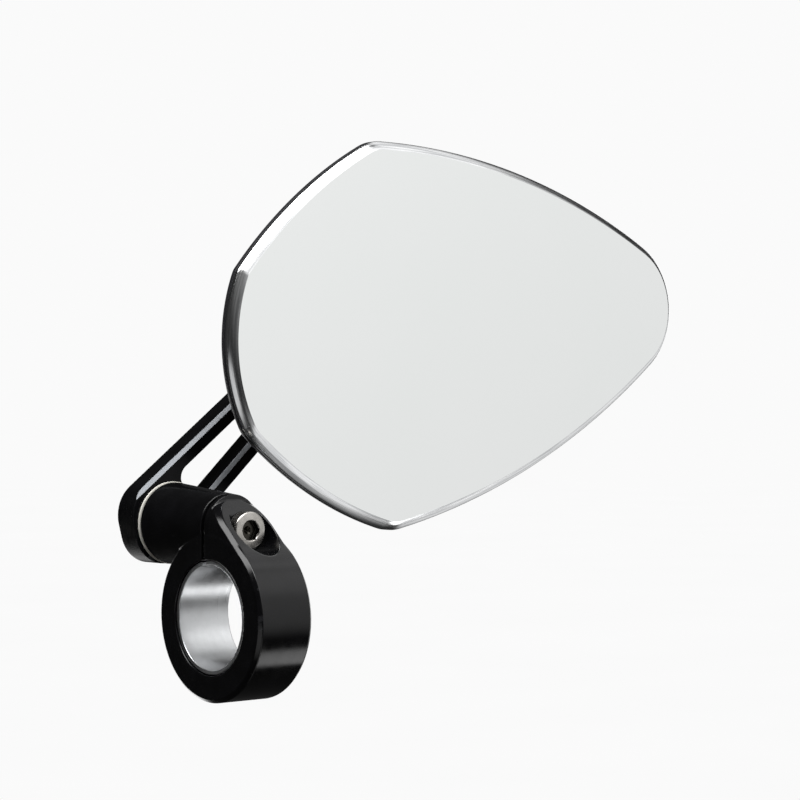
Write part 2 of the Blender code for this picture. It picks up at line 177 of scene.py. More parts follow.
# Shell: inset and y from the recess over the rim to the back, and the dome's rise from there to the socket.
SHELL_RIM = [(4.6, 7.8), (4.6, 7.38), (4.52, 7.3), (0.15, 7.3), (0.04, 7.34), (0.0, 7.45), (0.0, 8.4),
             (0.05, 8.5), (0.45, 8.84), (0.6, 8.93)]
SHELL_RISE = 1.72
SOCKET_FILLET = 1.6
PIN_POINTS = [(30.0, 70.0), (104.0, 68.0)]
PIN_HOLE_R = 1.1
RETAINER_HOLE_R = 0.85
TENSION_HOLE_R = 1.3
UPRIGHT = Matrix.Identity(4)
FORWARD = Matrix.Rotation(math.pi / 2, 4, "X")


# ---------------------------------------------------------------- signed distance fields

def both(a, b, radius=EDGE):
    """Where two fields meet, with an edge rounded to the radius."""
    edge = np.hypot(np.maximum(a + radius, 0), np.maximum(b + radius, 0))
    return np.minimum(np.maximum(a, b), -radius) + edge


def either(a, b, radius=0.3):
    """Two fields joined, with a fillet of the radius."""
    edge = np.hypot(np.maximum(radius - a, 0), np.maximum(radius - b, 0))
    return np.maximum(np.minimum(a, b), radius) - edge


def without(a, b, radius=EDGE):
    return both(a, -b, radius)


def chamfered(body, a, b, width, radius):
    """Body with the edge between its faces a and b cut off at 45 degrees."""
    return both(body, (a + b + width) * math.sqrt(0.5), radius)


def slab(value, low, high):
    return np.abs(value - (low + high) / 2) - (high - low) / 2


def from_axis(x, z, centre):
    """Distance from the axis along Y through a centre."""
    return np.hypot(x - centre.x, z - centre.z)


def from_middle(u, v, pair):
    """Distance from a hexagon's middle towards one of its three pairs of flats."""
    turn = math.radians(60 * pair + 30)
    return np.abs(u * math.cos(turn) + v * math.sin(turn))


def thread(along, u, v, pitch, hand=1):
    """Height of a thread's ridge, from 0 to 1, at a distance along the screw's axis."""
    turn = along / pitch - hand * np.arctan2(v, u) / (2 * math.pi)
    return np.abs(2 * (turn - np.floor(turn)) - 1)


def slope_of(field, points, step=1e-3):
    """Gradient of a field at the points."""
    slopes = np.empty_like(points)
    for axis in range(3):
        shift = np.zeros(3)
        shift[axis] = step
        slopes[:, axis] = (field(*(points + shift).T) - field(*(points - shift).T)) / (2 * step)
    return slopes


def crossings(value, cells):
    """Mean of the places where each cell's edges cross the surface, in cells."""
    total = np.zeros((len(cells), 3))
    hits = np.zeros(len(cells))
    for axis in range(3):
        step = np.eye(3, dtype=int)[axis]
        for first in (0, 1):
            for second in (0, 1):
                start = cells.copy()
                start[:, (axis + 1) % 3] += first
                start[:, (axis + 2) % 3] += second
                low = value[tuple(start.T)]
                high = value[tuple((start + step).T)]
                cut = (low < 0) != (high < 0)
                share = low[cut] / (low[cut] - high[cut])
                total[cut] += start[cut] + share[:, None] * step
                hits[cut] += 1
    return total / hits[:, None]


def skin(field, low, high, cell):
    """Surface where a field is zero, as points, quads and normals. Every point is moved onto the surface."""
    low = np.array(low, float) - 1.5 * cell
    counts = np.ceil((np.array(high, float) + 1.5 * cell - low) / cell).astype(int) + 1
    axes = [low[i] + cell * np.arange(counts[i]) for i in range(3)]
    value = field(*np.meshgrid(*axes, indexing="ij"))
    inside = value < 0
    filled = np.zeros(tuple(counts - 1), np.int8)
    for i in (0, 1):
        for j in (0, 1):
            for k in (0, 1):
                filled += inside[i:counts[0] - 1 + i, j:counts[1] - 1 + j, k:counts[2] - 1 + k]
    mixed = (filled > 0) & (filled < 8)
    number = np.full(mixed.shape, -1)
    number[mixed] = np.arange(mixed.sum())
    points = low + cell * crossings(value, np.argwhere(mixed))
    for _ in range(3):
        slopes = slope_of(field, points)
        move = field(*points.T) / np.maximum((slopes ** 2).sum(axis=1), 0.25)
        points -= slopes * np.clip(move, -cell / 2, cell / 2)[:, None]
    quads = []
    for axis in range(3):
        b, c = (axis + 1) % 3, (axis + 2) % 3
        here = np.take(inside, range(counts[axis] - 1), axis)
        there = np.take(inside, range(1, counts[axis]), axis)
        for start, end, order in ((here, there, 1), (there, here, -1)):
            spots = np.argwhere(start & ~end)
            corners = []
            for back_b, back_c in ((1, 1), (0, 1), (0, 0), (1, 0)):
                cell_at = spots.copy()
                cell_at[:, b] -= back_b
                cell_at[:, c] -= back_c
                corners.append(number[tuple(cell_at.T)])
            quads.append(np.stack(corners, axis=1)[:, ::order])
    normals = slope_of(field, points)
    normals /= np.maximum(np.linalg.norm(normals, axis=1), 1e-9)[:, None]
    return points, np.concatenate(quads), normals


def outline_distance(outline, x, z):
    """Signed distance from a closed outline in the XZ plane, negative inside."""
    nearest = np.full(x.shape, 1e9)
    inside = np.zeros(x.shape, bool)
    for (ax, az), (bx, bz) in zip(outline, outline[1:] + outline[:1]):
        dx, dz = bx - ax, bz - az
        share = np.clip(((x - ax) * dx + (z - az) * dz) / (dx * dx + dz * dz), 0, 1)
        nearest = np.minimum(nearest, np.hypot(x - ax - share * dx, z - az - share * dz))
        if abs(dz) > 1e-9:
            inside ^= ((az > z) != (bz > z)) & (x < dx * (z - az) / dz + ax)
    return np.where(inside, -nearest, nearest)


# ---------------------------------------------------------------- outlines

def arc(centre, start, end, steps):
    """Points on the shorter way round a centre, from start to end, both included."""
    first = Vector(start) - Vector(centre)
    last = Vector(end) - Vector(centre)
    begin = math.atan2(first.y, first.x)
    sweep = (math.atan2(last.y, last.x) - begin + math.pi) % (2 * math.pi) - math.pi
    angles = [begin + sweep * k / steps for k in range(steps + 1)]
    return [(centre[0] + first.length * math.cos(a), centre[1] + first.length * math.sin(a)) for a in angles]


def line(angle, offset):
    """Line at an angle to X, this far above the eye's centre: (point, direction)."""
    turn = math.radians(angle)
    along = Vector((math.cos(turn), math.sin(turn)))
    return Vector((PIVOT.x, PIVOT.z)) + Vector((-along.y, along.x)) * offset, along


def meet(first, second):
    """Crossing point of two lines."""
    p, d = first
    q, e = second
    gap = q - p
    return p + d * ((gap.x * e.y - gap.y * e.x) / (d.x * e.y - d.y * e.x))


def rounded(corners, steps=16):
    """Closed outline through (x, z, radius) corners, each rounded by an arc."""
    outline = []
    for i, (x, z, radius) in enumerate(corners):
        here = Vector((x, z))
        back = (Vector(corners[i - 1][:2]) - here).normalized()
        ahead = (Vector(corners[(i + 1) % len(corners)][:2]) - here).normalized()
        half = back.angle(ahead) / 2
        centre = here + (back + ahead).normalized() * (radius / math.sin(half))
        reach = radius / math.tan(half)
        outline += arc(centre, here + back * reach, here + ahead * reach, steps)
    return outline


def head_outline(inset, side_steps=26, corner_steps=16):
    """Outline of the mirror head, drawn in evenly by the inset: side arcs and tangent corner arcs in turn."""
    sides = [(Vector(centre), radius - inset) for centre, radius in HEAD_SIDES]
    corners = []
    for i, radius in enumerate(HEAD_CORNERS):
        radius = max(radius - inset, 0.6)
        (a, reach_a), (b, reach_b) = sides[i], sides[(i + 1) % len(sides)]
        reach_a -= radius
        reach_b -= radius
        span = (b - a).length
        ahead = (b - a) / span
        across = Vector((-ahead.y, ahead.x))
        foot = (span ** 2 + reach_a ** 2 - reach_b ** 2) / (2 * span)
        rise = math.sqrt(reach_a ** 2 - foot ** 2)
        corners.append((a + ahead * foot - across * rise, radius))
    outline = []
    for i, (centre, radius) in enumerate(sides):
        before, after = corners[i - 1], corners[i]
        start = centre + (before[0] - centre).normalized() * radius
        end = centre + (after[0] - centre).normalized() * radius
        outline += arc(centre, start, end, side_steps)[:-1]
        turn_end = after[0] + (after[0] - sides[(i + 1) % len(sides)][0]).normalized() * after[1]
        outline += arc(after[0], end, turn_end, corner_steps)[:-1]
    return outline


# ---------------------------------------------------------------- materials

def node(tree, kind, inputs=None, **settings):
    """Adds a shader node. Inputs are values or sockets, by name or number."""
    made = tree.nodes.new("ShaderNode" + kind)
    for key, value in settings.items():
        setattr(made, key, value)
    for key, value in (inputs or {}).items():
        if isinstance(value, bpy.types.NodeSocket):
            tree.links.new(value, made.inputs[key])
        else:
            made.inputs[key].default_value = value
    return made


def ramp(tree, factor, stops):
    """Colour ramp from (position, grey or colour) stops."""
    made = node(tree, "ValToRGB", {0: factor})
    elements = made.color_ramp.elements
    while len(elements) < len(stops):
        elements.new(0.5)
    for element, (position, value) in zip(elements, stops):
        element.position = position
        element.color = (*value, 1.0) if isinstance(value, tuple) else (value, value, value, 1.0)
    return made.outputs[0]


def noise(tree, vector, scale, detail=4.0, roughness=0.55):
    inputs = {"Vector": vector, "Scale": scale, "Detail": detail, "Roughness": roughness}
    return node(tree, "TexNoise", inputs).outputs[0]


def stretched(tree, vector, scale):
    return node(tree, "Mapping", {"Vector": vector, "Scale": scale}).outputs[0]


def math_node(tree, operation, first, second=0.0):
    return node(tree, "Math", {0: first, 1: second}, operation=operation).outputs[0]


def mix_in(tree, shader, name, share, value):
    """Turns a shader input that is already linked towards a value, by the share."""
    old = shader.inputs[name].links[0].from_socket
    tree.links.new(node(tree, "MixRGB", {0: share, 1: old, 2: value}).outputs[0], shader.inputs[name])


def surface(name, metallic, specular):
    """New material, its tree, its shader and its coordinates, where Object is in metres."""
    made = bpy.data.materials.new(name)
    made.use_nodes = True
    tree = made.node_tree
    shader = tree.nodes["Principled BSDF"]
    shader.inputs["Metallic"].default_value = metallic
    shader.inputs["Specular IOR Level"].default_value = specular
    return made, tree, shader, node(tree, "TexCoord").outputs


def set_bump(tree, shader, heights, distance):
    """Bump from several (height, strength) pairs, one on another."""
    normal = None
    for height, strength in heights:
        inputs = {"Height": height, "Strength": strength, "Distance": distance}
        if normal:
            inputs["Normal"] = normal
        normal = node(tree, "Bump", inputs).outputs[0]
    tree.links.new(normal, shader.inputs["Normal"])


def anodised(name, rough, grain, marks, specular, shades=(0.0018, 0.0042)):
    """Black anodised aluminium: fine blasted grain, faint tool marks, and edges a little paler in spots,
    partly wear and partly painted highlight.
    """
    made, tree, shader, coordinates = surface(name, 0.0, specular)
    place = coordinates["Object"]
    dark, pale = ((shade, shade, 1.15 * shade) for shade in shades)
    colour = ramp(tree, noise(tree, place, 260.0), [(0.3, dark), (0.75, pale)])
    tree.links.new(colour, shader.inputs["Base Color"])
    # Paler spots on convex edges: partly worn anodising, partly a painted highlight.
    edges = ramp(tree, node(tree, "NewGeometry").outputs["Pointiness"], [(0.53, 0.0), (0.60, 1.0)])
    wear_and_highlight_spots = ramp(tree, noise(tree, place, 900.0, 6.0, 0.7), [(0.42, 0.0), (0.62, 1.0)])
    mix_in(tree, shader, "Base Color", math_node(tree, "MULTIPLY", edges, wear_and_highlight_spots), WORN_AND_HIGHLIGHT_BLACK)
    gloss = ramp(tree, noise(tree, place, 420.0, 5.0), [(0.25, rough - 0.05), (0.8, rough + 0.06)])
    tree.links.new(gloss, shader.inputs["Roughness"])
    fine = noise(tree, place, 5200.0, 2.0)
    tooling = noise(tree, stretched(tree, place, marks), 1.0, 3.0)
    set_bump(tree, shader, [(fine, grain), (tooling, grain * 0.8)], 0.00006)
    return made


def bare_chamfers(made):
    """Shows bare cut metal on the chamfers along the arm's struts."""
    tree = made.node_tree
    shader = tree.nodes["Principled BSDF"]
    place = node(tree, "TexCoord").outputs["Object"]
    depth = node(tree, "SeparateXYZ", {0: place}).outputs["Y"]
    edge_y = (ARM_LOW.y + CHAMFER + 0.03) * MM
    cuts = []
    for angle, offset in ((UPPER_ANGLE, UPPER_EDGES[0]), (LOWER_ANGLE, LOWER_EDGES[0])):
        point, along = line(angle, offset)
        across = Vector((-along.y, 0.0, along.x))
        shift = -across.dot(Vector((point.x, 0.0, point.y))) * MM
        reach = node(tree, "VectorMath", {0: place, 1: across}, operation="DOT_PRODUCT").outputs["Value"]
        reach = math_node(tree, "ABSOLUTE", math_node(tree, "ADD", reach, shift))
        cuts.append(math_node(tree, "LESS_THAN", math_node(tree, "ADD", reach, depth), edge_y))
    bare = math_node(tree, "MAXIMUM", *cuts)
    mix_in(tree, shader, "Base Color", bare, BARE_METAL)
    mix_in(tree, shader, "Roughness", bare, (BARE_ROUGHNESS, BARE_ROUGHNESS, BARE_ROUGHNESS, 1.0))
    tree.links.new(math_node(tree, "MULTIPLY", bare, BARE_METALLIC), shader.inputs["Metallic"])


def polished_face():
    """Polished mirror surface with the faintest haze and hairlines."""
    made, tree, shader, coordinates = surface("polished_mirror", 1.0, 0.5)
    place = coordinates["Object"]
    haze = noise(tree, place, 22.0, 2.0)
    tint = ramp(tree, haze, [(0.3, (0.905, 0.925, 0.915)), (0.7, (0.918, 0.932, 0.926))])
    tree.links.new(tint, shader.inputs["Base Color"])
    hairlines = noise(tree, stretched(tree, place, (9000.0, 1.0, 260.0)), 1.0, 3.0)
    tree.links.new(ramp(tree, hairlines, [(0.3, 0.025), (0.8, 0.05)]), shader.inputs["Roughness"])
    set_bump(tree, shader, [(hairlines, 0.01)], 0.00001)
    return made


def brushed_rim():
    """Bare bright metal of the bevel, with brush lines that run along the rim."""
    made, tree, shader, coordinates = surface("brushed_rim", 1.0, 0.5)
    along_rim = stretched(tree, coordinates["UV"], (45.0, 1700.0, 1.0))
    lines = noise(tree, along_rim, 1.0, 6.0, 0.65)
    tone = ramp(tree, lines, [(0.32, (0.38, 0.39, 0.40)), (0.66, (0.94, 0.945, 0.95))])
    tree.links.new(tone, shader.inputs["Base Color"])
    tree.links.new(ramp(tree, lines, [(0.25, 0.12), (0.8, 0.26)]), shader.inputs["Roughness"])
    set_bump(tree, shader, [(lines, 0.4)], 0.00004)
    return made


def metal(name, colour, rough, scale, marks, grain=0.12, shade=0.72):
    """Plain machined metal: uneven tone, tool marks, and painted shade that darkens it in concave places."""
    made, tree, shader, coordinates = surface(name, 1.0, 0.5)
    place = coordinates["Object"]
    darker = tuple(shade * c for c in colour)
    cloud = noise(tree, place, scale, 6.0, 0.62)
    tone = ramp(tree, cloud, [(0.28, darker), (0.62, colour)])
    # Painted shade: the colour is darkened where the surface is concave.
    hollow_shade = ramp(tree, node(tree, "NewGeometry").outputs["Pointiness"], [(0.40, 0.25), (0.49, 1.0)])
    mixed = node(tree, "MixRGB", {0: 1.0, 1: tone, 2: hollow_shade}, blend_type="MULTIPLY")
    tree.links.new(mixed.outputs[0], shader.inputs["Base Color"])
    tooling = noise(tree, stretched(tree, place, marks), 1.0, 4.0)
    gloss = ramp(tree, tooling, [(0.25, rough - 0.07), (0.8, rough + 0.09)])
    tree.links.new(gloss, shader.inputs["Roughness"])
    set_bump(tree, shader, [(tooling, grain), (noise(tree, place, 4200.0, 3.0), grain * 0.6)], 0.00004)
    return made


def plastic(name, colour, rough, specular=0.4):
    made, tree, shader, coordinates = surface(name, 0.0, specular)
    place = coordinates["Object"]
    paler = tuple(min(1.0, 1.12 * c + 0.004) for c in colour)
    tone = ramp(tree, noise(tree, place, 320.0), [(0.3, colour), (0.7, paler)])
    tree.links.new(tone, shader.inputs["Base Color"])
    gloss = ramp(tree, noise(tree, place, 900.0), [(0.3, rough - 0.06), (0.7, rough + 0.06)])
    tree.links.new(gloss, shader.inputs["Roughness"])
    set_bump(tree, shader, [(noise(tree, place, 3000.0, 3.0), 0.15)], 0.00005)
    return made


def dark_socket(made):
    """Darkens the clamp screw's socket towards dark olive: painted shade, as the socket gets hardly any
    light.
    """
    tree = made.node_tree
    shader = tree.nodes["Principled BSDF"]
    place = node(tree, "TexCoord").outputs["Object"]
    centre = Vector((CLAMP_SCREW.x, SCREW_LOW.y, CLAMP_SCREW.z)) * MM
    offset = node(tree, "VectorMath", {0: place, 1: centre}, operation="SUBTRACT").outputs[0]
    flat = node(tree, "VectorMath", {0: offset, 1: (1.0, 0.0, 1.0)}, operation="MULTIPLY").outputs[0]
    radius = node(tree, "VectorMath", {0: flat}, operation="LENGTH").outputs["Value"]
    depth = node(tree, "SeparateXYZ", {0: offset}).outputs["Y"]
    near, deep = (
        node(tree, "MapRange", {"Value": value, "From Min": start * MM, "From Max": end * MM}).outputs[0]
        for value, (start, end) in ((radius, SOCKET_FADE_R), (depth, SOCKET_FADE_Y)))
    # Painted shade deep in the socket, fading out towards its mouth and edge.
    mix_in(tree, shader, "Base Color", math_node(tree, "MULTIPLY", near, deep), SOCKET_SHADE_OLIVE)


# Paler black for the edges: partly wear, partly painted highlight.
WORN_AND_HIGHLIGHT_BLACK = (0.016, 0.016, 0.018, 1.0)
BARE_METAL = (0.105, 0.110, 0.118, 1.0)
BARE_ROUGHNESS = 0.27
BARE_METALLIC = 0.4
# Dark olive of the painted shade in the clamp screw's socket.
SOCKET_SHADE_OLIVE = (0.045, 0.042, 0.036, 1.0)
SOCKET_FADE_R = (2.45, 2.15)
SOCKET_FADE_Y = (0.15, 0.5)
ALONG_Y = (2600.0, 300.0, 2600.0)  # scales of the tool marks that run along a screw

CLAMP_BLACK = anodised("anodised_clamp", 0.15, 0.05, (5200.0, 40.0, 40.0), 0.32)
ARM_BLACK = anodised("anodised_arm", 0.24, 0.08, (900.0, 4000.0, 900.0), 0.10)
bare_chamfers(ARM_BLACK)
SHELL_BLACK = anodised("anodised_shell", 0.46, 0.12, (700.0, 4200.0, 700.0), 0.5, (0.016, 0.023))
MIRROR = polished_face()
RIM = brushed_rim()
STEEL = metal("stainless", (0.56, 0.54, 0.51), 0.26, 700.0, ALONG_Y)
SCREW_STEEL = metal("stainless_worn", (0.50, 0.48, 0.45), 0.26, 900.0, ALONG_Y, 0.2)
dark_socket(SCREW_STEEL)
# Stainless steel painted near black: painted shade for the clamp washer down in the screw's pocket.
SHADED_WASHER_STEEL = metal("stainless_painted_shade", (0.035, 0.034, 0.033), 0.38, 900.0, ALONG_Y)
SLEEVE_METAL = metal("clear_anodised_sleeve", (0.60, 0.61, 0.62), 0.33, 500.0, (4200.0, 60.0, 60.0), 0.1,
                     0.93)
BRONZE = metal("sintered_bronze", (0.55, 0.38, 0.18), 0.40, 2400.0, (900.0, 900.0, 900.0), 0.3)
POLYMER = plastic("bearing_nylon", (0.70, 0.68, 0.62), 0.45)
PAD = plastic("foam_adhesive", (0.03, 0.03, 0.032), 0.8, 0.2)


# ---------------------------------------------------------------- pieces

def place_piece(name, points, faces, body, node_name, materials, normals=None, face_slots=None,
                sharp=30):
    """Makes a piece from points in millimetres, which rides on a body and stands for a CAD node."""
    mesh = bpy.data.meshes.new(name)
    low, high = node_box(node_name)
    points = np.clip(np.asarray(points, float), low, high) * MM
    mesh.from_pydata(points.tolist(), [], faces)
    for made in materials:
        mesh.materials.append(made)
    if face_slots is not None:
        mesh.polygons.foreach_set("material_index", np.asarray(face_slots, np.int32))
    mesh.shade_smooth()
    if normals is not None:
        mesh.normals_split_custom_set_from_vertices(normals.tolist())
    else:
        mesh.set_sharp_from_angle(angle=math.radians(sharp))
    mesh.validate()
    obj = bpy.data.objects.new(name, mesh)
    bpy.context.scene.collection.objects.link(obj)
    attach(obj, body)
    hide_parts(node_name)
    return obj


def milled(name, field, cell, body, node_name, made):
    """Piece that is the skin of a field within its CAD node's box."""
    points, quads, normals = skin(field, *node_box(node_name), cell)
    place_piece(name, points, quads.tolist(), body, node_name, [made], normals)


def turned(name, profile, centre, body, node_name, made, soft=0.12, segments=144):
    """Lathes a profile of (radius, y) about Y through the centre, with each corner softened by an arc."""
    cx, cz = centre.x, centre.z
    closed = profile[0][0] > 1e-6
    path = []
    for i, (radius, y) in enumerate(profile):
        if not closed and i in (0, len(profile) - 1):
            path.append((radius, y))
            continue
        here = Vector((radius, y))
        back = Vector(profile[i - 1]) - here
        ahead = Vector(profile[(i + 1) % len(profile)]) - here
        turn = math.pi - back.angle(ahead)
        reach = min(soft, 0.45 * back.length, 0.45 * ahead.length)
        if turn < math.radians(12):
            path.append((radius, y))
            continue
        start = here + back.normalized() * reach
        end = here + ahead.normalized() * reach
        for k in range(5):
            t = k / 4
            spot = start * (1 - t) ** 2 + here * 2 * t * (1 - t) + end * t ** 2
            path.append((spot.x, spot.y))
    points = []
    rings = []
    for radius, y in path:
        if radius < 1e-6:
            rings.append([len(points)])
            points.append((cx, y, cz))
            continue
        rings.append(list(range(len(points), len(points) + segments)))
        for i in range(segments):
            angle = 2 * math.pi * i / segments
            points.append((cx + radius * math.cos(angle), y, cz + radius * math.sin(angle)))
    faces = []
    pairs = list(zip(rings, rings[1:])) + ([(rings[-1], rings[0])] if closed else [])
    for low, high in pairs:
        for i in range(segments):
            j = (i + 1) % segments
            if len(low) == 1:
                faces.append((low[0], high[j], high[i]))
            elif len(high) == 1:
                faces.append((low[i], low[j], high[0]))
            else:
                faces.append((low[i], low[j], high[j], high[i]))
    face_out(place_piece(name, points, faces, body, node_name, [made]))


def face_out(obj):
    """Turns every face of a closed piece outwards."""
    bm = bmesh.new()
    bm.from_mesh(obj.data)
    bmesh.ops.recalc_face_normals(bm, faces=bm.faces)
    bm.to_mesh(obj.data)
    bm.free()


def clamp_field(x, y, z):
    radius = np.hypot(y, z)
    rim = radius - RING_R
    ring = both(slab(x, 0.0, RING_WIDTH), rim)
    ring = chamfered(ring, rim, -x, RING_CHAMFER, 0.1)
    ring = both(ring, (x - RING_WIDTH + RING_BREAK[0]) * RING_BREAK_SLOPE[0]
                + (rim + RING_BREAK[1]) * RING_BREAK_SLOPE[1], 0.1)
    front = np.hypot(x - PIVOT.x, np.maximum(z - PIVOT.z, 0)) - NOSE_R
    side = np.full(np.shape(x), -1e9)
    for (ay, az), (by, bz) in zip(NOSE_PROFILE, NOSE_PROFILE[1:] + NOSE_PROFILE[:1]):
        length = math.hypot(by - ay, bz - az)
        side = np.maximum(side, ((y - ay) * (az - bz) + (z - az) * (by - ay)) / length)
    nose = chamfered(both(front, side, 0.12), front, side, NOSE_CHAMFER, 0.12)
    body = either(either(ring, nose, 0.25), boss_field(x, y, z), 0.25)
    body = without(body, radius - RING_BORE_R, 0.25)
    pocket = np.maximum(np.hypot(x - POCKET_X, z - CLAMP_SCREW.z) - POCKET_R, y - POCKET_FLOOR_Y)
    body = without(body, pocket, 0.22)
    screw_hole = np.maximum(from_axis(x, z, CLAMP_SCREW) - HOLE_R, y - SCREW_HOLE_END_Y)
    pivot_hole = np.maximum(from_axis(x, z, PIVOT) - HOLE_R, PIVOT_HOLE_START_Y - y)
    slit = np.maximum(slab(y, *SLIT), SLIT_END_Z - z)
    for cut in (screw_hole, pivot_hole, slit):
        body = without(body, cut, 0.12)
    return body


def boss_field(x, y, z):
    """Cone that widens from the clamp's nose to the rim that the arm turns on."""
    turn = from_axis(x, z, PIVOT)
    (start_y, start_r), (rim_y, rim_r) = BOSS_START, BOSS_RIM
    growth = (rim_r - start_r) / (rim_y - BOSS_LIP - start_y)
    cone = (turn - start_r - growth * (y - start_y)) / math.hypot(1, growth)
    boss = chamfered(both(cone, y - rim_y, 0.05), turn - rim_r, y - rim_y, BOSS_CHAMFER, 0.05)
    return np.maximum(boss, start_y - y)


def arm_outlines():
    """Outer outline and window of the arm, and its bare edges, from its struts' edge lines."""
    upper_out, upper_in = (line(UPPER_ANGLE, offset) for offset in UPPER_EDGES)
    lower_in, lower_out = (line(LOWER_ANGLE, offset) for offset in LOWER_EDGES)
    slant = math.radians((UPPER_ANGLE + LOWER_ANGLE) / 2)
    along = Vector((math.cos(slant), math.sin(slant)))
    across = Vector((-along.y, along.x))
    hub = Vector((BALL.x, BALL.z))
    tip = (hub + along * HUB_TIP, across)
    neck = (hub - along * HUB_NECK, across)
    low_left, low_left_way = EYE_LEFT
    eye_left = (Vector(low_left), Vector(low_left_way))
    eye_right = (Vector((EYE_RIGHT_X, 0)), Vector((0, 1)))
    window_left = (Vector((WINDOW_LEFT_X, 0)), Vector((0, 1)))
    window_foot = (Vector((WINDOW_LEFT_X, WINDOW_FOOT_Z)), Vector(WINDOW_FOOT_WAY))
    outer = rounded([(*meet(eye_left, upper_out), 8.0), (*low_left, 7.6), (EYE_RIGHT_X, low_left[1], 7.0),
                     (*meet(eye_right, lower_out), 3.0), (*meet(lower_out, tip), 5.0),
                     (*meet(tip, upper_out), 5.0)])
    window = rounded([(*meet(window_left, upper_in), 3.2), (WINDOW_LEFT_X, WINDOW_FOOT_Z, 1.4),
                      (*meet(window_foot, lower_in), 2.0), (*meet(lower_in, neck), 1.8),
                      (*meet(neck, upper_in), 1.8)])
    return outer, window, ((upper_out, CHAMFERED[0]), (lower_in, CHAMFERED[1]))


def arm_field():
    outer, window, edges = arm_outlines()

    def flat(x, z):
        return without(outline_distance(outer, x, z), outline_distance(window, x, z), 0.01)

    def field(x, y, z):
        if x.ndim == 3:
            plan = np.broadcast_to(flat(x[:, 0, :], z[:, 0, :])[:, None, :], x.shape)
        else:
            plan = flat(x, z)
        body = both(plan, slab(y, ARM_LOW.y, ARM_HIGH.y), 0.2)
        for (point, along), (start, end) in edges:
            across = np.abs((z - point.y) * along.x - (x - point.x) * along.y)
            reach = (x - point.x) * along.x + (z - point.y) * along.y
            cut = (across + np.abs(y - ARM_LOW.y) - CHAMFER) * math.sqrt(0.5)
            body = without(body, np.maximum(cut, slab(reach, start, end)), 0.06)
        eye = from_axis(x, z, PIVOT)
        body = without(body, eye - EYE_BORE_R, 0.15)
        body = without(body, np.maximum(eye - EYE_RECESS_R, EYE_RECESS_Y - y), 0.15)
        return without(body, from_axis(x, z, BALL) - STUD_HOLE_R, 0.15)
    return field


def sleeve_field(x, y, z):
    wall = both(slab(np.hypot(y, z), *SLEEVE_R), slab(x, SLEEVE_LOW.x, SLEEVE_HIGH.x), 0.12)
    return without(wall, np.maximum(slab(y, *SLEEVE_SLIT), SLEEVE_SLIT_END_Z - z), 0.1)


def screw_field(centre, head_r, head_l, shank_r, end, flats, pitch, way=1):
    """Cap screw along Y: low domed head, hexagon socket with a countersunk mouth, and a threaded shank."""
    cx, cy, cz = centre
    length = (end - cy) * way

    def field(x, y, z):
        u, v = x - cx, z - cz
        along = (y - cy) * way
        radius = np.hypot(u, v)
        face = DOME * radius ** 2 / head_r - along
        head = both(radius - head_r, np.maximum(face, along - head_l), 0.09 * head_r)
        threaded = 1 - np.clip((head_l + 1.5 * pitch - along) / pitch, 0, 1)
        depth = 0.24 * pitch * thread(along, u, v, pitch, way) * threaded
        shank = both(radius - shank_r + depth, along - length, 0.3)
        shank = np.maximum(shank, 0.5 * head_l - along)
        body = either(head, shank, 0.12)
        hexagon = np.full(np.shape(x), -1e9)
        for pair in range(3):
            hexagon = np.maximum(hexagon, from_middle(u, v, pair) - flats / 2)
        socket = np.maximum(hexagon, along - 0.6 * head_l)
        mouth = (radius + along - flats / math.sqrt(3) - 0.05) * math.sqrt(0.5)
        return without(body, np.minimum(socket, mouth), 0.06)
    return field


def nut_field(x, y, z):
    low, high = node_box("stud_nut")
    u, v = x - BALL.x, z - BALL.z
    radius = np.hypot(u, v)
    flats = (high.z - low.z) / 2
    thickness = slab(y, low.y, high.y)
    body = thickness
    for pair in range(3):
        body = both(body, from_middle(u, v, pair) - flats, 0.06)
    corner = 2 * flats / math.sqrt(3)
    body = both(body, (radius - corner + 0.25) * 0.5 + thickness * 0.866, 0.05)
    return without(body, radius - STUD_HOLE_R, 0.1)


def stud_field(x, y, z):
    """Ball, tapered neck, flange and threaded shank of the stud."""
    radius = from_axis(x, z, BALL)
    ball = both(np.hypot(radius, y - BALL.y) - BALL_R, BALL.y - BALL_FLAT - y, 0.1)
    neck = np.maximum(radius - NECK_R, slab(y, *NECK_Y))
    flange = both(radius - FLANGE_R, slab(y, *FLANGE_Y), 0.12)
    threaded = np.clip((y - STUD_THREAD_Y) / 0.8, 0, 1)
    depth = 0.3 * STUD_PITCH * thread(y, x - BALL.x, z - BALL.z, STUD_PITCH) * threaded
    shank = both(radius - STUD_R + depth, slab(y, *STUD_Y), 0.35)
    return either(either(either(ball, neck, 1.0), flange, 0.5), shank, 0.15)


def retainer_spots():
    """Centres of the retainer's screws, as (x, z)."""
    turns = [math.radians(angle) for angle in RETAINER_ANGLES]
    return [(BALL.x + RETAINER_CIRCLE_R * math.cos(turn), BALL.z + RETAINER_CIRCLE_R * math.sin(turn))
            for turn in turns]


def retainer_field(x, y, z):
    low, high = node_box("retainer_ring")
    radius = from_axis(x, z, BALL)
    rim = radius - SOCKET_OUTER_R
    body = both(rim, slab(y, low.y, high.y), 0.15)
    body = chamfered(body, rim, y - high.y, RETAINER_CHAMFER, 0.08)
    body = without(body, np.hypot(radius, y - BALL.y) - SOCKET_R, 0.15)
    for spot_x, spot_z in retainer_spots():
        away = np.hypot(x - spot_x, z - spot_z)
        body = without(body, away - 0.95, 0.05)
        body = without(body, np.maximum(away - SINK_R, SINK_FLOOR_Y - y), 0.06)
    return body


def ring_loft(rings):
    """Points and faces of a closed solid through rings of equal count, capped by a fan at each end."""
    count = len(rings[0])
    points = [point for ring in rings for point in ring]
    faces = []
    for level in range(len(rings) - 1):
        base = level * count
        for i in range(count):
            j = (i + 1) % count
            faces.append((base + i, base + j, base + count + j, base + count + i))
    faces.append(tuple(range(count)))
    faces.append(tuple(range(len(points) - count, len(points))))
    return points, faces


def at_depth(outline, y):
    return [(x, y, z) for x, z in outline]


